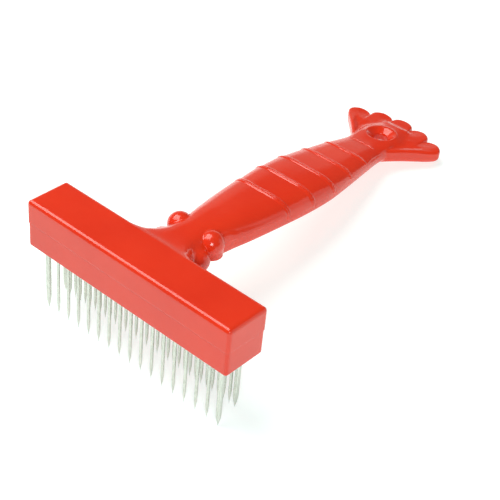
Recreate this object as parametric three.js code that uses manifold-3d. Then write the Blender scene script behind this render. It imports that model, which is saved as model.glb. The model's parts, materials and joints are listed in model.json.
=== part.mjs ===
// Undercoat rake: one moulded handle, shaped like a lobster, with two rows of steel pins in its head bar.
// Millimetres. The rake's own axes: X along the head bar, Y from the bar to the tail, Z up along the
// pins, from just inside the head bar. The finished group is tipped to stand on its pins and its tail.
import * as THREE from "three";
import { mergeVertices } from "three/addons/utils/BufferGeometryUtils.js";
import Module from "manifold-3d";

// ---------------------------------------------------------------- driving dimensions

// The head bar: a block with upright walls. Below the mould's parting line its walls stand back a little.
const head = {
  length: 99.2, // above the parting line, as is the depth
  depth: 19.1,
  middle: 9.5, // Y of the bar's middle
  bottom: -0.5, // height of the face that the pins stand in
  top: 19.6,
  parting: 9.6,
  step: 0.15, // how far the lower walls stand back at the parting line
  edge: 1.4, // radius of the upright and upper edges
  leastEdge: 0.5, // an upright edge's radius never gets smaller than this
  sharpEdge: 0.7, // radius of the edges round the pin face
  cornerSides: 4, // faces round one upright edge
};

// The two rows of pins. Reach is how far below Z = 0 the points lie. The first and the last pin of
// each row are stouter than the others.
const rows = [
  { name: "long_pin", count: 17, pitch: 5.5, y: 4.9, reach: 29.8 },
  { name: "short_pin", count: 33, pitch: 2.75, y: 13.4, reach: 26.4 },
];
const pin = {
  radius: 0.65,
  endRadius: 1.05,
  taper: 6.5, // length of the sharpened point
  shoulder: { along: 0.45, radius: 0.72 }, // where the point's sides bend, as shares of taper and radius
  top: 10, // height of the pin's buried end
  sides: 10,
};
const socket = { gap: 0.3, floor: 0.3 }; // clearance round the pin and past its buried end

// The handle runs through cross-sections at right angles to Y. Each row holds: distance from the
// bar's front, half width, heights of the back, of the widest line and of the underside, and how
// square the section is (2 is an ellipse, more is nearer to a rectangle).
const handle = [
  [15.0, 19.5, 18.3, 9.8, 0.3, 7.0],
  [18.8, 17.0, 18.4, 9.8, 0.3, 7.0],
  [20.5, 13.4, 18.5, 9.8, 0.8, 6.0],
  [23.0, 11.2, 18.5, 9.8, 1.8, 4.5],
  [27.0, 9.4, 18.4, 9.6, 3.2, 3.4],
  [34.0, 9.1, 18.3, 9.4, 4.2, 2.7],
  [44.0, 10.1, 18.2, 9.0, 4.2, 2.3],
  [56.0, 12.1, 17.7, 9.0, 4.0, 2.15],
  [70.0, 13.7, 17.3, 8.9, 3.8, 2.15],
  [84.0, 14.8, 17.0, 8.6, 3.5, 2.15],
  [98.0, 14.8, 16.0, 8.2, 3.2, 2.15],
  [112.0, 13.2, 14.2, 7.8, 2.9, 2.15],
  [126.0, 11.1, 12.2, 7.2, 2.5, 2.2],
  [137.0, 9.2, 10.4, 6.2, 2.1, 2.5],
  [149.0, 9.0, 9.9, 5.6, 2.4, 2.8],
  [159.0, 5.0, 7.8, 5.0, 2.6, 2.4],
];
const aroundSection = 28; // points round one section
const quarterTurn = [0, 30, 60, 90]; // degrees, the steps round a rounded edge
const ball = { around: 18, along: 12 }; // faces of a ball

// Raised beads across the back, where the tail's plates meet.
const beads = {
  at: [71.0, 84.5, 97.5, 110.5, 123.5],
  rise: 0.5,
  halfWidth: 0.9,
  bow: 2.0, // how much nearer to the tail a bead's ends lie than its middle
  above: 10.0, // a bead runs down each side to this height
  plate: 7.0, // from a bead to the middle of the plate behind it
};

// Each eye is a post with a ball-shaped top; each claw is a swelling on the side of the neck.
const eye = { x: 8.8, y: 36.0, radius: 4.1, bottom: 8.6, centre: 14.6, sides: 16 };
const claw = { x: 7.6, y: 28.5, z: 9.5, radii: [4.2, 6.5, 6.0] };

// The tail fan: a flat-bottomed slab with five round lobes.
const fan = {
  bottom: 2.0,
  top: 8.4,
  root: [6.8, 138.5],
  waist: [11.2, 145.4], // the handle of each side's inward curve
  shoulder: [23.2, 157.3],
  notches: [
    [14.5, 162.2],
    [4.9, 165.2],
  ],
  bulge: 0.52, // how far a lobe's curve is pulled out, as a share of its width
  edge: 2.5, // radius of the edges round the slab
  edgeSides: 3,
  curveSides: 7, // faces along one curve of the outline
};
const hole = { y: 150.0, rim: 6.2, throat: 2.95, throatLength: 2.6, top: 9.8, sides: 24 };

// Hollows in the underside: two thumb dishes and one shallow panel, which lighten the moulding.
const dishes = [
  { y: 78.0, z: 0.6, radii: [9.6, 12.0, 6.6] },
  { y: 104.5, z: 0.4, radii: [9.2, 11.5, 6.6] },
];
const panel = { from: 117.5, to: 133.5, halfWidth: 5.4, depth: 1.2 };

// How the rake stands: on the tips of its long pins and on the end of its tail fan.
const restLine = { pinY: 4.9, pinZ: -29.8, tailY: 166.4, tailZ: 2.0 };

// ---------------------------------------------------------------- solids

const wasm = await Module();
wasm.setup();

/** Turns a closed three.js geometry into a solid that can be joined and cut. */
function solid(geometry) {
  geometry.deleteAttribute("normal");
  geometry.deleteAttribute("uv");
  const merged = mergeVertices(geometry, 1e-4);
  return new wasm.Manifold(
    new wasm.Mesh({
      numProp: 3,
      vertProperties: merged.attributes.position.array,
      triVerts: new Uint32Array(merged.index.array),
    }),
  );
}

/** Turns a solid back into a flat-shaded geometry. */
function geometryOf(body) {
  const { vertProperties, triVerts } = body.getMesh();
  const geometry = new THREE.BufferGeometry();
  geometry.setAttribute("position", new THREE.BufferAttribute(vertProperties, 3));
  geometry.setIndex(new THREE.BufferAttribute(triVerts, 1));
  geometry.computeVertexNormals();
  return geometry;
}

/** A closed body through rings of points, all with the same count and anticlockwise about the way on. */
function loft(rings) {
  const count = rings[0].length;
  const points = rings.flat();
  const faces = [];
  for (let i = 0; i + 1 < rings.length; i++) {
    for (let j = 0; j < count; j++) {
      const a = i * count + j;
      const b = i * count + ((j + 1) % count);
      faces.push(a, b, b + count, a, b + count, a + count);
    }
  }
  const lastRing = (rings.length - 1) * count;
  for (let j = 0; j < count; j++) {
    const next = (j + 1) % count;
    faces.push(points.length, next, j);
    faces.push(points.length + 1, lastRing + j, lastRing + next);
  }
  const middle = (ring) => ring.reduce((sum, p) => sum.add(p), new THREE.Vector3()).divideScalar(count);
  points.push(middle(rings[0]), middle(rings.at(-1)));
  return new THREE.BufferGeometry().setFromPoints(points).setIndex(faces);
}

// ---------------------------------------------------------------- head bar

/** A ring in a level plane: a rectangle with round corners, drawn in from the bar's widest outline. */
function barRing(inset, z) {
  const halfLength = head.length / 2 - inset;
  const halfDepth = head.depth / 2 - inset;
  const radius = Math.max(head.edge - inset, head.leastEdge);
  const outline = new THREE.Path();
  outline.absarc(halfLength - radius, halfDepth - radius, radius, 0, Math.PI / 2);
  outline.absarc(radius - halfLength, halfDepth - radius, radius, Math.PI / 2, Math.PI);
  outline.absarc(radius - halfLength, radius - halfDepth, radius, Math.PI, Math.PI * 1.5);
  outline.absarc(halfLength - radius, radius - halfDepth, radius, Math.PI * 1.5, Math.PI * 2);
  const corners = outline.getPoints(head.cornerSides);
  corners.pop(); // the outline's end is its start
  return corners.map((p) => new THREE.Vector3(p.x, p.y + head.middle, z));
}

function headBar() {
  const rings = [];
  for (const turn of quarterTurn) {
    const angle = THREE.MathUtils.degToRad(turn);
    const inset = head.step + head.sharpEdge * (1 - Math.sin(angle));
    rings.push(barRing(inset, head.bottom + head.sharpEdge * (1 - Math.cos(angle))));
  }
  rings.push(barRing(head.step, head.parting));
  rings.push(barRing(0, head.parting + head.step));
  for (const turn of quarterTurn) {
    const angle = THREE.MathUtils.degToRad(turn);
    const inset = head.edge * (1 - Math.cos(angle));
    rings.push(barRing(inset, head.top - head.edge * (1 - Math.sin(angle))));
  }
  return solid(loft(rings));
}

// ---------------------------------------------------------------- handle

/** One measure of the handle, such as its half width, as a smooth function of y. */
function along(column) {
  const places = handle.map((row) => row[0]);
  const values = handle.map((row) => row[column]);
  const curve = new THREE.CubicInterpolant(places, values, 1);
  return (y) => curve.evaluate(y)[0];
}
const halfWidth = along(1);
const backHeight = along(2);
const waistHeight = along(3);
const undersideHeight = along(4);
const squareness = along(5);

/** A ring round the handle at y, raised by swell over the back; its plane bows where the beads lie. */
function handleRing(y, swell = 0, bow = 0) {
  const ring = [];
  for (let i = 0; i < aroundSection; i++) {
    const angle = (2 * Math.PI * i) / aroundSection;
    const across = Math.cos(angle);
    const up = Math.sin(angle);
    const power = 2 / squareness(y);
    const out = halfWidth(y) * Math.sign(across) * Math.abs(across) ** power;
    const half = up > 0 ? backHeight(y) - waistHeight(y) : waistHeight(y) - undersideHeight(y);
    const z = waistHeight(y) + half * Math.sign(up) * Math.abs(up) ** power;
    const lift = z > beads.above ? swell : 0;
    const away = new THREE.Vector2(across, up).setLength(lift);
    const offset = bow * (out / halfWidth(y)) ** 2;
    ring.push(new THREE.Vector3(out + away.x, y + offset, z + away.y));
  }
  return ring.reverse();
}

function handleBody() {
  const rings = [];
  const places = handle.map((row) => row[0]);
  const firstPlate = beads.at[0] - beads.plate;
  const lastPlate = beads.at.at(-1) + beads.plate;
  for (const y of places.filter((y) => y < firstPlate)) rings.push(handleRing(y));
  for (const y of beads.at) {
    for (const [shift, swell] of [
      [-beads.halfWidth, 0],
      [0, beads.rise],
      [beads.halfWidth, 0],
    ]) {
      rings.push(handleRing(y + shift, swell, beads.bow));
    }
    rings.push(handleRing(y + beads.plate, 0, beads.bow / 2));
  }
  for (const y of places.filter((y) => y > lastPlate)) rings.push(handleRing(y));
  return solid(loft(rings));
}

/** An upright post with a ball-shaped top: one eye. */
function eyePost(side) {
  const profile = [new THREE.Vector2(0, eye.bottom), new THREE.Vector2(eye.radius, eye.bottom)];
  for (const turn of quarterTurn.slice(0, -1)) {
    const angle = THREE.MathUtils.degToRad(turn);
    const up = eye.centre + eye.radius * Math.sin(angle);
    profile.push(new THREE.Vector2(eye.radius * Math.cos(angle), up));
  }
  profile.push(new THREE.Vector2(0, eye.centre + eye.radius));
  const post = new THREE.LatheGeometry(profile, eye.sides);
  post.rotateX(Math.PI / 2).translate(side * eye.x, eye.y, 0);
  return solid(post);
}

/** A ball stretched along each axis. */
function ellipsoid(x, y, z, radii) {
  const unit = new THREE.SphereGeometry(1, ball.around, ball.along);
  return solid(unit.rotateX(Math.PI / 2).scale(...radii).translate(x, y, z));
}

// ---------------------------------------------------------------- tail fan

/** The fan's outline, clockwise from its root, mirrored about Y. */
function fanOutline() {
  const left = ([x, y]) => [-x, y];
  const [outer, inner] = fan.notches;
  const stops = [fan.shoulder, outer, inner, left(inner), left(outer), left(fan.shoulder)];
  const outline = new THREE.Shape();
  outline.moveTo(...left(fan.root));
  outline.lineTo(...fan.root);
  outline.quadraticCurveTo(...fan.waist, ...fan.shoulder);
  for (let i = 0; i + 1 < stops.length; i++) {
    const from = new THREE.Vector2(...stops[i]);
    const to = new THREE.Vector2(...stops[i + 1]);
    const out = new THREE.Vector2(to.y - from.y, from.x - to.x).multiplyScalar(fan.bulge);
    outline.bezierCurveTo(from.x + out.x, from.y + out.y, to.x + out.x, to.y + out.y, to.x, to.y);
  }
  outline.quadraticCurveTo(...left(fan.waist), ...left(fan.root));
  return outline;
}

function tailFan() {
  const slab = new THREE.ExtrudeGeometry(fanOutline(), {
    depth: fan.top - fan.bottom - 2 * fan.edge,
    bevelEnabled: true,
    bevelThickness: fan.edge,
    bevelSize: fan.edge,
    bevelOffset: -fan.edge,
    bevelSegments: fan.edgeSides,
    curveSegments: fan.curveSides,
  });
  return solid(slab.translate(0, 0, fan.bottom + fan.edge));
}

/** The hanging hole: a straight throat that opens into a cone towards each face. */
function hangingHole() {
  const middle = (fan.bottom + hole.top) / 2;
  const over = 1; // the cutter runs past both faces
  const slope = (hole.rim - hole.throat) / ((hole.top - fan.bottom - hole.throatLength) / 2);
  const reach = (hole.top - fan.bottom) / 2 + over;
  const wide = hole.rim + over * slope;
  const profile = [
    [0, -reach],
    [wide, -reach],
    [hole.throat, -hole.throatLength / 2],
    [hole.throat, hole.throatLength / 2],
    [wide, reach],
    [0, reach],
  ].map(([r, z]) => new THREE.Vector2(r, z));
  const cutter = new THREE.LatheGeometry(profile, hole.sides);
  return solid(cutter.rotateX(Math.PI / 2).translate(0, hole.y, middle));
}

/** The shallow panel sunk into the underside, in front of the fan. */
function panelCutter() {
  const box = new THREE.BoxGeometry(2 * panel.halfWidth, panel.to - panel.from, 2 * panel.depth);
  box.rotateX(Math.atan2(fan.bottom - undersideHeight(panel.from), panel.to - panel.from));
  const middle = (panel.from + panel.to) / 2;
  return solid(box.translate(0, middle, undersideHeight(middle)));
}

// ---------------------------------------------------------------- pins

function pinX(row, index) {
  return (index - (row.count - 1) / 2) * row.pitch;
}

function pinRadius(row, index) {
  return index === 0 || index === row.count - 1 ? pin.endRadius : pin.radius;
}

/** A straight pin with a sharp point below, whose sides bend once, and its buried end above. */
function pinGeometry(row, radius) {
  const profile = [
    [0, -row.reach],
    [pin.shoulder.radius * radius, -row.reach + pin.shoulder.along * pin.taper],
    [radius, -row.reach + pin.taper],
    [radius, pin.top],
    [0, pin.top],
  ].map(([r, z]) => new THREE.Vector2(r, z));
  return new THREE.LatheGeometry(profile, pin.sides).rotateX(Math.PI / 2);
}

/** The blind socket that holds one pin. */
function socketCutter(row, index) {
  const radius = pinRadius(row, index) + socket.gap;
  const top = pin.top + socket.floor;
  const profile = [
    [0, -pin.top],
    [radius, -pin.top],
    [radius, top],
    [0, top],
  ].map(([r, z]) => new THREE.Vector2(r, z));
  const cutter = new THREE.LatheGeometry(profile, pin.sides).rotateX(Math.PI / 2);
  return solid(cutter.translate(pinX(row, index), row.y, 0));
}

// ---------------------------------------------------------------- assembly

const redPlastic = new THREE.MeshStandardMaterial({ color: 0xda3717, roughness: 0.25, metalness: 0 });
const steel = new THREE.MeshStandardMaterial({ color: 0xcfd1c9, roughness: 0.22, metalness: 1 });

function mouldedBody() {
  let body = headBar().add(handleBody()).add(tailFan());
  for (const side of [-1, 1]) {
    body = body.add(ellipsoid(side * claw.x, claw.y, claw.z, claw.radii)).add(eyePost(side));
  }
  for (const dish of dishes) body = body.subtract(ellipsoid(0, dish.y, dish.z, dish.radii));
  body = body.subtract(panelCutter()).subtract(hangingHole());
  for (const row of rows) {
    for (let i = 0; i < row.count; i++) body = body.subtract(socketCutter(row, i));
  }
  const mesh = new THREE.Mesh(geometryOf(body), redPlastic);
  mesh.name = "handle_body";
  return mesh;
}

function pinMesh(row, index) {
  const mesh = new THREE.Mesh(pinGeometry(row, pinRadius(row, index)), steel);
  mesh.name = `${row.name}_${String(index + 1).padStart(2, "0")}`;
  mesh.position.set(pinX(row, index), row.y, 0);
  return mesh;
}

const rake = new THREE.Group();
rake.add(mouldedBody());
for (const row of rows) {
  for (let i = 0; i < row.count; i++) rake.add(pinMesh(row, i));
}

// Tipped onto the rest line, with the origin on the ground under the middle of the outline.
rake.rotation.x = -Math.atan2(restLine.tailZ - restLine.pinZ, restLine.tailY - restLine.pinY);
const space = new THREE.Box3().setFromObject(rake, true);
const centre = space.getCenter(new THREE.Vector3());
rake.position.set(-centre.x, -centre.y, -space.min.z);

const part = new THREE.Group();
part.add(rake);
export default part;
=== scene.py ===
"""An undercoat rake: one glossy red moulding in the shape of a lobster, with two rows of steel pins.

Shapes are worked out in millimetres in the rake's own axes: X along the head bar, Y from the bar to the
tail, Z up along the pins. Z = 0 lies just inside the bar, above its underside. The head_top mount of the
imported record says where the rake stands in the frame, which is in metres.
"""

import json
import math

import bpy
import numpy as np
from mathutils import Matrix, Vector


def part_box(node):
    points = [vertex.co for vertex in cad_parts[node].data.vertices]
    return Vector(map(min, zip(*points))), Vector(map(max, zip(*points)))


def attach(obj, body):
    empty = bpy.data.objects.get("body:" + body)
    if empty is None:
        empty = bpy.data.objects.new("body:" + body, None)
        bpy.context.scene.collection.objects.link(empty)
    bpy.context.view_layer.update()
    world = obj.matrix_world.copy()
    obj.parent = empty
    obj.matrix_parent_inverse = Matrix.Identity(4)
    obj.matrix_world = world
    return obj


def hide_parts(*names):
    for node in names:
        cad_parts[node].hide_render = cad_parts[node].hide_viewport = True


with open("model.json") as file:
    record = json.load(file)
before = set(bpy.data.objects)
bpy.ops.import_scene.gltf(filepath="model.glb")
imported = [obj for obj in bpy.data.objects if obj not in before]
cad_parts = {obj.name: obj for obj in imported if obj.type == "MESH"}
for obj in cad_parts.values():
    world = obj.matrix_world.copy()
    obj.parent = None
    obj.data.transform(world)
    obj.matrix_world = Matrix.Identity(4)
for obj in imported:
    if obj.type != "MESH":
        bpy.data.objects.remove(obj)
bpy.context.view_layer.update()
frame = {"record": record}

# ---------------------------------------------------------------- dimensions, in millimetres

# The head bar above its parting line. Below that line each wall is set in by the parting's step.
BAR = {
    "length": 99.2,
    "depth": 19.1,
    "middle": 9.5,
    "bottom": -0.5,
    "top": 19.6,
    "corner": 1.3,
    "upper_edge": 1.8,
    "lower_edge": 0.8,
}
PARTING = {"height": 9.6, "step": 0.2, "blend": 0.3}

# The rows of pins. Their reach is how far below Z = 0 the points lie.
ROWS = {
    "long_pin": {"count": 17, "y": 4.9, "reach": 29.8},
    "short_pin": {"count": 33, "y": 13.4, "reach": 26.4},
}
PIN = {
    "radius": 0.65,
    "end_radius": 1.05,  # of the stouter pin at each end of a row
    "taper": 6.5,  # length of the ground point
    "tip": 0.1,  # radius at the very end
    "sunk": 1.5,  # height inside the bar at which the modelled wire starts
    "sides": 20,
    "point_rings": 11,
}

# The handle's sections: y, half width, heights of the back, of the widest line and of the underside,
# and how square the section is (2 is an ellipse, more is nearer to a rectangle).
HANDLE = (
    (15.0, 19.5, 19.2, 9.8, 0.3, 7.0),
    (18.8, 17.0, 19.15, 9.8, 0.3, 7.0),
    (20.5, 13.4, 18.9, 9.8, 0.8, 6.0),
    (23.0, 11.2, 18.65, 9.8, 1.8, 4.5),
    (27.0, 9.4, 18.4, 9.6, 3.2, 3.4),
    (34.0, 9.1, 18.3, 9.4, 4.2, 2.7),
    (44.0, 10.1, 18.2, 9.0, 4.2, 2.3),
    (56.0, 12.1, 17.7, 9.0, 4.0, 2.15),
    (70.0, 13.7, 17.3, 8.9, 3.8, 2.15),
    (84.0, 14.8, 17.0, 8.6, 3.5, 2.15),
    (98.0, 14.8, 16.0, 8.2, 3.2, 2.15),
    (112.0, 13.2, 14.2, 7.8, 2.9, 2.15),
    (126.0, 11.1, 12.2, 7.2, 2.5, 2.2),
    (137.0, 9.2, 10.4, 6.2, 2.1, 2.5),
    (149.0, 9.0, 9.9, 5.6, 2.4, 2.8),
    (159.0, 5.0, 7.8, 5.0, 2.6, 2.4),
)
HANDLE_END = 159.5
FLAT_BACK = 0.7  # how much squarer the sections are above their widest line

BEADS = {
    "at": (71.0, 84.5, 97.5, 110.5, 123.5),
    "rise": 0.38,
    "bow": 2.0,  # how much nearer to the tail a bead's ends lie than its middle
    "most_bow": 1.2,  # the bow stops growing at this square of the share of the half width
    "above": 10.0,  # a bead runs down each side to about this height
}
BEAD_RIDGES = {"apart": 1.1, "apart_at_ends": 0.2, "half_width": 0.9}  # each bead is a pair of ridges
PLATE_FLARE = 0.3  # how far each plate of the tail spreads from its front to its rear bead
LAST_LINE = {"y": 136.4, "rise": 0.35, "half_width": 0.5, "reach": 6.2}
# The line along each side ahead of the first bead, where the back stands proud of the flank.
SHOULDER = {"z": 11.6, "from": 44.0, "step": 0.45, "fade": 5.5}

EYE = {"x": 7.9, "y": 36.6, "radius": 4.8, "post_radius": 4.4, "bottom": 8.6, "centre": 13.6}
CLAW = {"centre": (8.3, 28.2, 10.3), "radii": (5.0, 5.4, 4.9)}

# How widely one part of the moulding runs into the next.
BLEND = {
    "bar": 0.3,
    "neck": 1.2,  # added to the bar's blend past the corner of the neck
    "handle_end": 1.5,
    "claw": 2.2,
    "eye": 0.35,
    "eye_post": 0.3,
    "lobes": 0.2,
    "fan": 0.5,
    "fan_behind": 3.5,  # added to the fan's blend towards the hole
    "dish": 0.7,
    "underside": 0.25,
    "recess": 0.3,
    "hole": 0.3,
}
HANDLE_START = 14.0  # the handle's sections are cut off here, inside the bar
NECK_CORNER = (16.0, 21.0)
HANDLE_RUNS_OUT = (144.0, 152.0)

FAN = {
    "bottom": 2.0,
    "top": 8.4,
    "front": 134.8,
    "root": (6.8, 138.5),
    "waist": (11.2, 145.4),
    "shoulder": (23.5, 157.1),
    "notches": ((14.5, 162.2), (4.9, 165.2)),
    "tip": 0.355,  # how far a lobe stands out past its notches, as a share of its width
    "spread": 0.3,  # how fast a lobe widens inwards, so that it runs under its neighbour
    "corner": 2.4,  # how widely the outer lobes' corners are rounded
    "upper_edge": 1.1,
    "lower_edge": 2.8,
    "roll": 2.4,  # width of the raised roll along each outer edge
    "valley": 0.9,  # how far the top falls behind the rolls
    "dish": 0.6,  # how far the lobes lie below the rolls
    "step": 0.6,  # how far a lobe's edge falls below its neighbour's at the notch between them
    "crease": 7.0,  # how far in from a notch the step runs out
    "roll_fades": (150.0, 158.0),
}
HOLE = {
    "y": 150.0,
    "rim": 6.2,
    "throat": 2.95,
    "throat_length": 2.6,
    "top": 9.8,
    "ring": {"rise": 0.12, "half_width": 0.6},
}

DISHES = (
    {"centre": (0.0, 78.0, 0.6), "radii": (9.6, 12.0, 6.6)},
    {"centre": (0.0, 104.5, 0.4), "radii": (9.2, 11.5, 6.6)},
)
PLATEAU = {"from": 117.2, "to": 135.0, "half_width": 6.0, "z": 3.1}
RECESS = {"from": 123.8, "to": 134.6, "half_width": 3.6, "depth": 0.6}
EJECTOR = {"y": 120.4, "radius": 1.9, "depth": 0.12}

GRID = 0.5  # spacing of the samples that the moulding's surface is found from
PLAIN_GRID = 1.2  # along the plain stretches of the bar
EDGE_GRID = 0.35  # at the bar's ends and its upper edge
FRONT_GRID = 0.4  # at the bar's front and its lower edge
SIDE_GRID = 0.2  # up the sides, where the beads and shoulders end
FAR = 1e3  # stands for the field wherever a sample isn't near the surface

# ---------------------------------------------------------------- the rake's own axes in the frame

mount = next(m for m in frame["record"]["mounts"] if m["name"] == "head_top")
mount_axis = Vector(mount["axis"])
TOP_POINT = Vector((0, BAR["middle"], BAR["top"]))
OWN_TO_FRAME = (
    Matrix.Translation(mount["pos_m"])
    @ Matrix.Rotation(-math.atan2(mount_axis.y, mount_axis.z), 4, "X")
    @ Matrix.Scale(0.001, 4)
    @ Matrix.Translation(-TOP_POINT)
)

# ---------------------------------------------------------------- fields, negative inside the surface


def smooth_min(a, b, reach):
    """The smaller of a and b, blended where they are within reach of each other."""
    share = np.clip(0.5 + 0.5 * (b - a) / reach, 0, 1)
    return b + (a - b) * share - reach * share * (1 - share)


def smooth_max(a, b, reach):
    return -smooth_min(-a, -b, reach)


def ramp(value, start, end):
    """0 at start, 1 at end, smooth between them."""
    t = np.clip((value - start) / (end - start), 0, 1)
    return t * t * (3 - 2 * t)


def bump(value, half_width):
    """A smooth hill of height 1 about value 0."""
    return np.clip(1 - (value / half_width) ** 2, 0, 1) ** 2


def rounded(side, level, radius):
    """A wall and a level face met in an edge of that radius, from the distances past each."""
    out = np.hypot(np.maximum(side + radius, 0), np.maximum(level + radius, 0)) - radius
    return out + np.minimum(np.maximum(side, level) + radius, 0)


def radial(offsets, radii):
    """About how far a point is outside an ellipsoid, from its offsets from the centre."""
    distance = np.sqrt(sum(o * o for o in offsets)) + 1e-3
    scaled = np.sqrt(sum((o / r) ** 2 for o, r in zip(offsets, radii))) + 1e-4
    return distance - distance / scaled


def profile(column):
    """One measure of the handle as a smooth function of y."""
    y = np.array([row[0] for row in HANDLE])
    value = np.array([row[column] for row in HANDLE])
    slope = np.gradient(value, y)
    fine = np.linspace(y[0], y[-1], 1200)
    i = np.clip(np.searchsorted(y, fine) - 1, 0, len(y) - 2)
    gap = y[i + 1] - y[i]
    t = (fine - y[i]) / gap
    smooth = (
        (2 * t**3 - 3 * t**2 + 1) * value[i]
        + (t**3 - 2 * t**2 + t) * gap * slope[i]
        + (3 * t**2 - 2 * t**3) * value[i + 1]
        + (t**3 - t**2) * gap * slope[i + 1]
    )
    return lambda at: np.interp(at, fine, smooth)


half_width, back_height, waist_height, underside_height, squareness = (profile(c) for c in range(1, 6))


def bar_field(x, y, z):
    """The head bar: a rounded block, a little smaller below its parting line."""
    below = 1 - ramp(z, PARTING["height"], PARTING["height"] + PARTING["blend"])
    inset = PARTING["step"] * below
    past_x = np.abs(x) - BAR["length"] / 2 + inset
    past_y = np.abs(y - BAR["middle"]) - BAR["depth"] / 2 + inset
    walls = rounded(past_x, past_y, BAR["corner"])
    middle = (BAR["bottom"] + BAR["top"]) / 2
    edge = np.where(z > middle, BAR["upper_edge"], BAR["lower_edge"])
    return rounded(walls, np.abs(z - middle) - BAR["top"] + middle, edge)


def handle_field(x, y, z):
    """The neck and the grip: squared ellipses along Y, with the relief of the back."""
    half = half_width(y)
    waist = waist_height(y)
    up = z - waist
    power = squareness(y) + np.where(up > 0, FLAT_BACK * ramp(y, 36.0, 48.0), 0)
    reach = np.where(up > 0, back_height(y) - waist, waist - underside_height(y))
    scaled = ((np.abs(x) / half) ** power + (np.abs(up) / reach) ** power) ** (1 / power) + 1e-4
    distance = np.hypot(x, up) + 1e-3
    field = distance - distance / scaled
    return field - back_relief(x, y, z, half)


def back_relief(x, y, z, half):
    """How far the beads, plates and shoulders stand proud of the handle's plain sections."""
    along = y - BEADS["bow"] * np.minimum((x / half) ** 2, BEADS["most_bow"])
    bead_foot = BEADS["above"] - 0.5
    down_side = ramp(z, bead_foot, BEADS["above"] + 0.3)
    ends, middle = BEAD_RIDGES["apart_at_ends"], BEAD_RIDGES["apart"]
    apart = ends + (middle - ends) * ramp(z, bead_foot, BEADS["above"] + 2.5)
    relief = np.zeros_like(x)
    for at in BEADS["at"]:
        ridges = [bump(along - at + side * apart / 2, BEAD_RIDGES["half_width"]) for side in (-1, 1)]
        relief += BEADS["rise"] * np.maximum(*ridges)
    first, last = BEADS["at"][0], BEADS["at"][-1]
    pitch = (last - first) / (len(BEADS["at"]) - 1)
    share = np.mod(along - first, pitch) / pitch
    plates = ramp(along, first, first + 1) * (1 - ramp(along, LAST_LINE["y"] - 6, LAST_LINE["y"]))
    relief += PLATE_FLARE * (share - 0.5) * plates
    relief *= down_side
    across = 1 - ramp(np.abs(x), LAST_LINE["reach"] - 0.6, LAST_LINE["reach"] + 0.2)
    on_top = ramp(z, 8.0, 9.0)
    relief += LAST_LINE["rise"] * bump(y - LAST_LINE["y"], LAST_LINE["half_width"]) * across * on_top
    starts = ramp(y, SHOULDER["from"], SHOULDER["from"] + 4)
    shoulder = starts * (1 - ramp(along, first - 2.0, first - 0.8))
    side_step = ramp(z, SHOULDER["z"] - 0.15, SHOULDER["z"] + 0.15)
    fade = ramp(z, SHOULDER["z"], SHOULDER["z"] + SHOULDER["fade"])
    return relief + SHOULDER["step"] * (side_step - fade) * shoulder


def lobe_field(x, y, start, end):
    """A tail lobe seen from above, from its two notches: half an ellipse outside, widening inwards."""
    start, end = np.array(start), np.array(end)
    width = np.linalg.norm(end - start)
    side = (end - start) / width
    out = np.array((side[1], -side[0]))
    middle = (start + end) / 2
    across = (x - middle[0]) * side[0] + (y - middle[1]) * side[1]
    away = (x - middle[0]) * out[0] + (y - middle[1]) * out[1]
    tip = radial((across, away), (width / 2, width * FAN["tip"]))
    inner = np.abs(across) - width / 2 + FAN["spread"] * np.minimum(away, 0)
    return np.where(away > 0, tip, inner)


def waist_curve(y):
    """Half width of the fan at y along its side, which curves from root to shoulder, and its slope."""
    (x0, y0), (x1, y1), (x2, y2) = FAN["root"], FAN["waist"], FAN["shoulder"]
    a, b, c = y0 - 2 * y1 + y2, 2 * (y1 - y0), y0 - y
    t = (-b + np.sqrt(np.maximum(b * b - 4 * a * c, 1e-6))) / (2 * a)
    width = x0 + 2 * (x1 - x0) * t + (x0 - 2 * x1 + x2) * t * t
    slope = (2 * (x1 - x0) + 2 * (x0 - 2 * x1 + x2) * t) / (b + 2 * a * t)
    return width, slope


def fan_field(x, y, z):
    """The tail fan: five overlapping lobes between two curved sides."""
    ax = np.abs(x)
    width, slope = waist_curve(y)
    side = (ax - width) / np.sqrt(1 + slope * slope)
    outer, inner = FAN["notches"]
    mirrored = (-inner[0], inner[1])
    towards_tip = ramp(y, *FAN["roll_fades"])
    past_roll = np.maximum(ramp(-side, FAN["roll"] * 0.25, FAN["roll"] * 1.5), towards_tip)
    past_valley = np.maximum(ramp(-side, FAN["roll"] * 1.5, FAN["roll"] * 4), towards_tip)
    fall = past_roll * (FAN["valley"] + (FAN["dish"] - FAN["valley"]) * past_valley)
    fan = None
    for start, end in ((inner, mirrored), (outer, inner), (FAN["shoulder"], outer)):
        from_notch = np.hypot(ax - end[0], y - end[1])
        top = FAN["top"] - fall - FAN["step"] * (1 - ramp(from_notch, 1.5, FAN["crease"])) * (end[0] > 0)
        outline = smooth_max(lobe_field(ax, y, start, end), side, FAN["corner"])
        outline = np.maximum(outline, FAN["front"] - y)
        slab = np.maximum(
            rounded(outline, z - top, FAN["upper_edge"]),
            rounded(outline, FAN["bottom"] - z, FAN["lower_edge"]),
        )
        fan = slab if fan is None else smooth_min(fan, slab, BLEND["lobes"])
    return fan


def eye_field(x, y, z):
    """A ball on an upright post."""
    aside = np.hypot(np.abs(x) - EYE["x"], y - EYE["y"])
    ball = np.hypot(aside, z - EYE["centre"]) - EYE["radius"]
    post = rounded(aside - EYE["post_radius"], np.maximum(EYE["bottom"] - z, z - EYE["centre"]), 0.3)
    return smooth_min(ball, post, BLEND["eye_post"])


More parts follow.
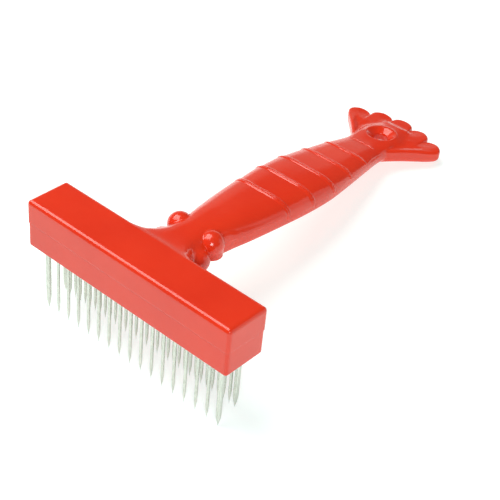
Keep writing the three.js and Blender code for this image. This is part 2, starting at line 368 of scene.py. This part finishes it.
def hole_field(x, y, z):
    """The hanging hole: a throat that opens into a cone towards each face."""
    middle = (FAN["bottom"] + HOLE["top"]) / 2
    half_throat = HOLE["throat_length"] / 2
    slope = (HOLE["rim"] - HOLE["throat"]) / (HOLE["top"] - middle - half_throat)
    opening = HOLE["throat"] + slope * np.maximum(np.abs(z - middle) - half_throat, 0)
    return (np.hypot(x, y - HOLE["y"]) - opening) / math.hypot(1, slope)


def moulding_field(x, y, z):
    """The whole red moulding."""
    handle = smooth_max(handle_field(x, y, z), y - HANDLE_END, BLEND["handle_end"])
    cx, cy, cz = CLAW["centre"]
    claw = radial((np.abs(x) - cx, y - cy, z - cz), CLAW["radii"])
    handle = smooth_min(handle, claw, BLEND["claw"])
    handle = smooth_min(handle, eye_field(x, y, z), BLEND["eye"])
    fillet = BLEND["bar"] + BLEND["neck"] * ramp(y, *NECK_CORNER)
    body = smooth_min(bar_field(x, y, z), np.maximum(handle, HANDLE_START - y), fillet)
    fillet = BLEND["fan"] + BLEND["fan_behind"] * ramp(y, *HANDLE_RUNS_OUT)
    body = smooth_min(body, fan_field(x, y, z), fillet)
    for dish in DISHES:
        offsets = [axis - c for axis, c in zip((x, y, z), dish["centre"])]
        body = smooth_max(body, -radial(offsets, dish["radii"]), BLEND["dish"])
    body = smooth_max(body, -underside_field(x, y, z), BLEND["underside"])
    ring = HOLE["ring"]
    around = np.hypot(x, y - HOLE["y"]) - HOLE["rim"] - ring["half_width"] / 2
    body = body - ring["rise"] * bump(around, ring["half_width"]) * ramp(z, 7.0, 8.5)
    return smooth_max(body, -hole_field(x, y, z), BLEND["hole"])


def underside_field(x, y, z):
    """The flat behind the dishes, the recess sunk into it, and the round mark of an ejector pin."""
    middle = (PLATEAU["from"] + PLATEAU["to"]) / 2
    half = (PLATEAU["to"] - PLATEAU["from"]) / 2
    flat = np.maximum(np.abs(x) - PLATEAU["half_width"], np.abs(y - middle) - half)
    plateau = np.maximum(flat, z - PLATEAU["z"])
    middle = (RECESS["from"] + RECESS["to"]) / 2
    half = (RECESS["to"] - RECESS["from"]) / 2
    sunk = np.maximum(np.abs(x) - RECESS["half_width"], np.abs(y - middle) - half)
    recess = np.maximum(sunk, z - PLATEAU["z"] - RECESS["depth"])
    disc = np.hypot(x, y - EJECTOR["y"]) - EJECTOR["radius"]
    mark = np.maximum(disc, z - PLATEAU["z"] - EJECTOR["depth"])
    return smooth_min(np.minimum(plateau, mark), recess, BLEND["recess"])


# ---------------------------------------------------------------- from a field to a mesh

CORNERS = [(i, j, k) for i in (0, 1) for j in (0, 1) for k in (0, 1)]  # of a cell of the grid


def sample_lines():
    """Where the samples lie along each axis: wider apart along the plain stretches of the bar."""

    def spaced(stops):
        lines = [np.arange(a, b, step) for (a, step), (b, _) in zip(stops, stops[1:])]
        return np.concatenate(lines + [[stops[-1][0]]])

    half = BAR["length"] / 2
    right = spaced([(0.25, GRID), (26.0, PLAIN_GRID), (half - 2.5, EDGE_GRID), (half + 1, EDGE_GRID)])
    x = np.concatenate([-right[::-1], right])
    stops = [(-1.0, FRONT_GRID), (3.0, GRID)]
    for at in BEADS["at"]:
        stops += [(at - 1.4, GRID / 3), (at + BEADS["bow"] + 1.3, GRID)]
    y = spaced(stops + [(172.0, GRID)])
    low = [(-1.4, FRONT_GRID), (1.4, GRID), (9.0, SIDE_GRID), (12.2, GRID)]
    z = spaced(low + [(17.4, EDGE_GRID), (20.6, EDGE_GRID)])
    return x, y, z


def sample(field, lines, block=4):
    """The field on the grid, worked out only near the surface. Elsewhere only its sign is right."""
    coarse = [np.append(line[::block], line[-1]) for line in lines]
    rough = field(*np.meshgrid(*coarse, indexing="ij"))
    reach = 1.3 * math.hypot(*[np.diff(c).max() for c in coarse[1:]], 1.5)
    count = [len(c) - 1 for c in coarse]
    corners = [tuple(slice(o, o + n) for o, n in zip(corner, count)) for corner in CORNERS]
    low = np.min([rough[c] for c in corners], axis=0)
    high = np.max([rough[c] for c in corners], axis=0)
    near = (low < reach) & (high > -reach)
    index = [np.arange(len(line)) for line in lines]
    owner = [np.minimum(i // block, n - 1) for i, n in zip(index, count)]
    values = np.where(low[np.ix_(*owner)] < 0, -FAR, FAR)
    wanted = np.zeros(values.shape, bool)
    for corner in CORNERS:
        before = [np.maximum(o - c * (i % block == 0), 0) for o, c, i in zip(owner, corner, index)]
        wanted |= near[np.ix_(*before)]
    i, j, k = np.nonzero(wanted)
    values[i, j, k] = field(lines[0][i], lines[1][j], lines[2][k])
    return values


def surface_net(values, lines):
    """A quad mesh along the zero of a sampled field: one vertex in each cell that the surface crosses.

    It has no open edges. Where the surface passes twice through one cell, an edge can have four faces.
    """
    inside = values < 0
    shape = [n - 1 for n in values.shape]
    windows = [tuple(slice(o, o + n) for o, n in zip(corner, shape)) for corner in CORNERS]
    count = sum(inside[window].astype(np.int8) for window in windows)
    cells = np.argwhere((count > 0) & (count < 8))
    number = np.full(shape, -1, np.int64)
    number[tuple(cells.T)] = np.arange(len(cells))

    total = np.zeros((len(cells), 3))
    hits = np.zeros(len(cells))
    for a in CORNERS:
        for axis in range(3):
            if a[axis]:
                continue
            b = list(a)
            b[axis] = 1
            ia, ib = cells + a, cells + b
            va, vb = values[tuple(ia.T)], values[tuple(ib.T)]
            crossed = (va < 0) != (vb < 0)
            t = np.where(crossed, va / np.where(crossed, va - vb, 1), 0)
            pa = np.stack([line[i] for line, i in zip(lines, ia.T)], 1)
            pb = np.stack([line[i] for line, i in zip(lines, ib.T)], 1)
            total += np.where(crossed[:, None], pa + t[:, None] * (pb - pa), 0)
            hits += crossed
    points = total / hits[:, None]

    quads = []
    for axis in range(3):
        u, v = (axis + 1) % 3, (axis + 2) % 3
        start = [slice(None)] * 3
        end = [slice(None)] * 3
        start[axis], end[axis] = slice(None, -1), slice(1, None)
        first, second = inside[tuple(start)], inside[tuple(end)]
        edges = np.argwhere(first != second)
        edges = edges[(edges[:, u] > 0) & (edges[:, v] > 0)]
        outward = first[tuple(edges.T)]
        ring = []
        for du, dv in ((1, 1), (0, 1), (0, 0), (1, 0)):
            cell = edges.copy()
            cell[:, u] -= du
            cell[:, v] -= dv
            ring.append(number[tuple(cell.T)])
        ring = np.stack(ring, 1)
        quads.append(np.where(outward[:, None], ring, ring[:, ::-1]))
    return points, np.concatenate(quads)


def gradient(field, points, step=0.02):
    """The field's slope at each point, by central differences."""
    slopes = []
    for axis in range(3):
        shift = np.zeros(3)
        shift[axis] = step
        ahead, behind = (points + shift).T, (points - shift).T
        slopes.append((field(*ahead) - field(*behind)) / (2 * step))
    return np.stack(slopes, 1)


def settle(field, points, rounds=3, most=0.25):
    """Moves points onto the field's zero, and gives the directions in which the surface faces there."""
    for _ in range(rounds):
        slope = gradient(field, points)
        steep = np.maximum((slope**2).sum(1), 0.05)
        move = slope * (field(*points.T) / steep)[:, None]
        length = np.linalg.norm(move, axis=1)[:, None]
        points = points - move * np.minimum(1, most / np.maximum(length, 1e-9))
    slope = gradient(field, points, 0.06)
    return points, slope / np.maximum(np.linalg.norm(slope, axis=1), 1e-9)[:, None]


def to_frame(points):
    matrix = np.array(OWN_TO_FRAME)
    return points @ matrix[:3, :3].T + matrix[:3, 3]


def mesh_object(name, points, faces, material, normals=None):
    mesh = bpy.data.meshes.new(name)
    mesh.from_pydata(to_frame(points).tolist(), [], faces)
    mesh.materials.append(material)
    mesh.shade_smooth()
    if normals is not None:
        turn = np.array(OWN_TO_FRAME.to_3x3().normalized())
        mesh.normals_split_custom_set_from_vertices((normals @ turn.T).tolist())
    piece = bpy.data.objects.new(name, mesh)
    bpy.context.scene.collection.objects.link(piece)
    return piece


# ---------------------------------------------------------------- materials


def new_material(name):
    material = bpy.data.materials.new(name)
    material.use_nodes = True
    nodes = material.node_tree.nodes
    return material, nodes, material.node_tree.links, nodes["Principled BSDF"]


def noise(nodes, links, place, scale, detail):
    texture = nodes.new("ShaderNodeTexNoise")
    texture.inputs["Scale"].default_value = scale
    texture.inputs["Detail"].default_value = detail
    links.new(place, texture.inputs["Vector"])
    return texture.outputs["Fac"]


def spread(nodes, links, value, low, high):
    """Maps a noise value to the range from low to high."""
    node = nodes.new("ShaderNodeMapRange")
    node.inputs["From Min"].default_value = 0.3
    node.inputs["From Max"].default_value = 0.7
    node.inputs["To Min"].default_value = low
    node.inputs["To Max"].default_value = high
    links.new(value, node.inputs["Value"])
    return node.outputs["Result"]


def red_plastic():
    """Plastic coloured through: a faint flow pattern, a gloss broken by handling, a soft skin."""
    material, nodes, links, shader = new_material("red_plastic")
    place = nodes.new("ShaderNodeTexCoord").outputs["Object"]
    mix = nodes.new("ShaderNodeMix")
    mix.data_type = "RGBA"
    mix.inputs["A"].default_value = (0.73, 0.032, 0.007, 1)
    mix.inputs["B"].default_value = (0.79, 0.039, 0.009, 1)
    links.new(spread(nodes, links, noise(nodes, links, place, 45, 3), 0, 1), mix.inputs["Factor"])
    links.new(mix.outputs["Result"], shader.inputs["Base Color"])
    gloss = spread(nodes, links, noise(nodes, links, place, 160, 4), 0.14, 0.20)
    links.new(gloss, shader.inputs["Roughness"])
    relief = nodes.new("ShaderNodeBump")
    relief.inputs["Strength"].default_value = 0.06
    relief.inputs["Distance"].default_value = 0.0004
    links.new(noise(nodes, links, place, 330, 2), relief.inputs["Height"])
    links.new(relief.outputs["Normal"], shader.inputs["Normal"])
    shader.inputs["IOR"].default_value = 1.54
    shader.inputs["Subsurface Weight"].default_value = 0.06
    shader.inputs["Subsurface Radius"].default_value = (0.004, 0.0008, 0.0004)
    shader.inputs["Subsurface Scale"].default_value = 0.5
    return material


def pin_steel():
    """Bright drawn wire: fine lines run the length of a pin."""
    material, nodes, links, shader = new_material("pin_steel")
    place = nodes.new("ShaderNodeTexCoord").outputs["Object"]
    stretch = nodes.new("ShaderNodeMapping")
    stretch.inputs["Scale"].default_value = (1, 1, 0.04)
    links.new(place, stretch.inputs["Vector"])
    lines = noise(nodes, links, stretch.outputs["Vector"], 2600, 3)
    tint = nodes.new("ShaderNodeMix")
    tint.data_type = "RGBA"
    tint.inputs["A"].default_value = (0.50, 0.51, 0.45, 1)
    tint.inputs["B"].default_value = (0.70, 0.71, 0.64, 1)
    links.new(spread(nodes, links, lines, 0, 1), tint.inputs["Factor"])
    links.new(tint.outputs["Result"], shader.inputs["Base Color"])
    links.new(spread(nodes, links, lines, 0.16, 0.30), shader.inputs["Roughness"])
    relief = nodes.new("ShaderNodeBump")
    relief.inputs["Strength"].default_value = 0.15
    relief.inputs["Distance"].default_value = 0.0001
    links.new(lines, relief.inputs["Height"])
    links.new(relief.outputs["Normal"], shader.inputs["Normal"])
    shader.inputs["Metallic"].default_value = 1.0
    return material


# ---------------------------------------------------------------- pieces


def moulded_body(material):
    lines = sample_lines()
    points, quads = surface_net(sample(moulding_field, lines), lines)
    points, normals = settle(moulding_field, points)
    body = mesh_object("handle_moulding", points, quads.tolist(), material, normals)
    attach(body, "root")
    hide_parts("handle_body")


def pin_profile(radius, reach):
    """Radius and height down a pin: a straight shank, then a point whose sides curve in."""
    profile = [(radius, PIN["sunk"]), (radius, BAR["bottom"])]
    for t in np.linspace(0, 1, PIN["point_rings"]):
        height = PIN["tip"] / 2 - reach + PIN["taper"] * (1 - t)
        profile.append((max(radius * (1 - t * t), PIN["tip"]), height))
    return profile


def pin_piece(name, x, y, radius, reach, material):
    """One pin: rings of vertices down its profile, closed at both ends."""
    rings = pin_profile(radius, reach)
    angles = np.arange(PIN["sides"]) * 2 * math.pi / PIN["sides"]
    points = [(x, y, rings[0][1])]
    for r, z in rings:
        points += [(x + r * math.cos(a), y + r * math.sin(a), z) for a in angles]
    points.append((x, y, rings[-1][1]))
    sides, last = PIN["sides"], len(points) - 1
    faces = [(0, 1 + j, 1 + (j + 1) % sides) for j in range(sides)]
    for i in range(len(rings) - 1):
        for j in range(sides):
            a, b = 1 + i * sides + j, 1 + i * sides + (j + 1) % sides
            faces.append((a, a + sides, b + sides, b))
    base = 1 + (len(rings) - 1) * sides
    faces += [(last, base + (j + 1) % sides, base + j) for j in range(sides)]
    piece = mesh_object(f"{name}_steel", np.array(points), faces, material)
    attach(piece, "root")
    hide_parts(name)


def pins(material):
    for row, size in ROWS.items():
        for i in range(1, size["count"] + 1):
            name = f"{row}_{i:02d}"
            low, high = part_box(name)
            x = 500 * (low.x + high.x)
            radius = PIN["end_radius"] if i in (1, size["count"]) else PIN["radius"]
            pin_piece(name, x, size["y"], radius, size["reach"], material)


# ---------------------------------------------------------------- studio


CAMERA = {
    "place": (0.2418, -0.2627, 0.3558),
    "target": (0.006, -0.0232, 0.015),
    "roll": 3.92,
    "lens": 90.88,
    "sensor": 36.0,
}


def camera():
    data = bpy.data.cameras.new("camera")
    data.sensor_width = CAMERA["sensor"]
    data.lens = CAMERA["lens"]
    data.clip_start, data.clip_end = 0.01, 10
    holder = bpy.data.objects.new("camera", data)
    place, target = Vector(CAMERA["place"]), Vector(CAMERA["target"])
    aim = (target - place).to_track_quat("-Z", "Y").to_matrix().to_4x4()
    roll = Matrix.Rotation(math.radians(-CAMERA["roll"]), 4, "Z")
    holder.matrix_world = Matrix.Translation(place) @ aim @ roll
    bpy.context.scene.collection.objects.link(holder)
    bpy.context.scene.camera = holder


def softbox(name, place, target, size, power, color=(1, 1, 1)):
    """A rectangular area light, in metres and watts, that faces its target."""
    data = bpy.data.lights.new(name, "AREA")
    data.color = color
    data.shape = "RECTANGLE"
    data.size, data.size_y = size
    data.energy = power
    light = bpy.data.objects.new(name, data)
    light.location = place
    light.rotation_mode = "QUATERNION"
    light.rotation_quaternion = (Vector(target) - Vector(place)).to_track_quat("-Z", "Y")
    bpy.context.scene.collection.objects.link(light)


def surroundings():
    """A dim grey room."""
    world = bpy.data.worlds.new("room")
    world.use_nodes = True
    world.node_tree.nodes["Background"].inputs["Color"].default_value = (0.13, 0.13, 0.14, 1)
    bpy.context.scene.world = world


def studio_floor():
    data = bpy.data.meshes.new("floor")
    data.from_pydata([(-3, -3, 0), (3, -3, 0), (3, 3, 0), (-3, 3, 0)], [], [(0, 1, 2, 3)])
    material, _, _, shader = new_material("floor")
    shader.inputs["Base Color"].default_value = (0.58, 0.66, 0.65, 1)
    shader.inputs["Roughness"].default_value = 0.7
    shader.inputs["Emission Color"].default_value = (0.9, 1, 0.97, 1)
    shader.inputs["Emission Strength"].default_value = 0.64
    data.materials.append(material)
    floor = bpy.data.objects.new("floor", data)
    bpy.context.scene.collection.objects.link(floor)


camera()
surroundings()
studio_floor()
softbox("overhead", (-0.5, -0.05, 1.0), (0, 0, 0), (0.8, 1.0), 12.5, (1, 0.97, 0.93))
softbox("front", (0.7, -0.7, 0.7), (0, 0, 0.02), (0.4, 0.4), 6)
softbox("left_screen", (-0.954, 0.538, 0.235), (0, 0, 0.235), (1.83, 0.44), 0.9, (1, 0.95, 0.82))
softbox("right_screen", (0.92, 0.92, 0.3), (0, 0, 0.3), (0.7, 0.6), 1.0)
bpy.context.scene.view_settings.view_transform = "Standard"

moulded_body(red_plastic())
pins(pin_steel())
